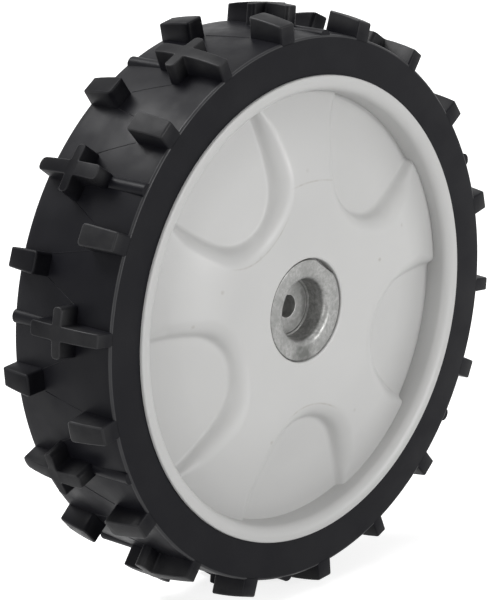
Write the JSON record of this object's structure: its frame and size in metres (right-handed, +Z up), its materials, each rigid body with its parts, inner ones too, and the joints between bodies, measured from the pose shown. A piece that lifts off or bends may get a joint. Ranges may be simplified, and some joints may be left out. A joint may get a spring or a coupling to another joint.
{
  "type": "lawn mower wheel",
  "caption": "Wheel for a walk-behind lawn mower: lugged rubber tyre on a pale plastic disc with spoke-like webs between sunk pockets, and a cast hub with a bolt recess and a keyed shaft socket.",
  "frame": {"origin": "the wheel's centre, on its spin axis midway between the tyre's sidewalls", "axes": "+Y along the spin axis, out of the shaft socket at the back; -Y out of the open front face; +Z up"},
  "size_m": [0.2284, 0.0518, 0.2284],
  "materials": {
    "rubber": "matt moulded rubber",
    "moulded_plastic": "satin moulded plastic",
    "cast_metal": "dull die-cast metal"
  },
  "bodies": {
    "root": {"tyre": "rubber", "wheel_disc": "moulded_plastic", "drive_hub": "cast_metal"}
  },
  "joints": []
}
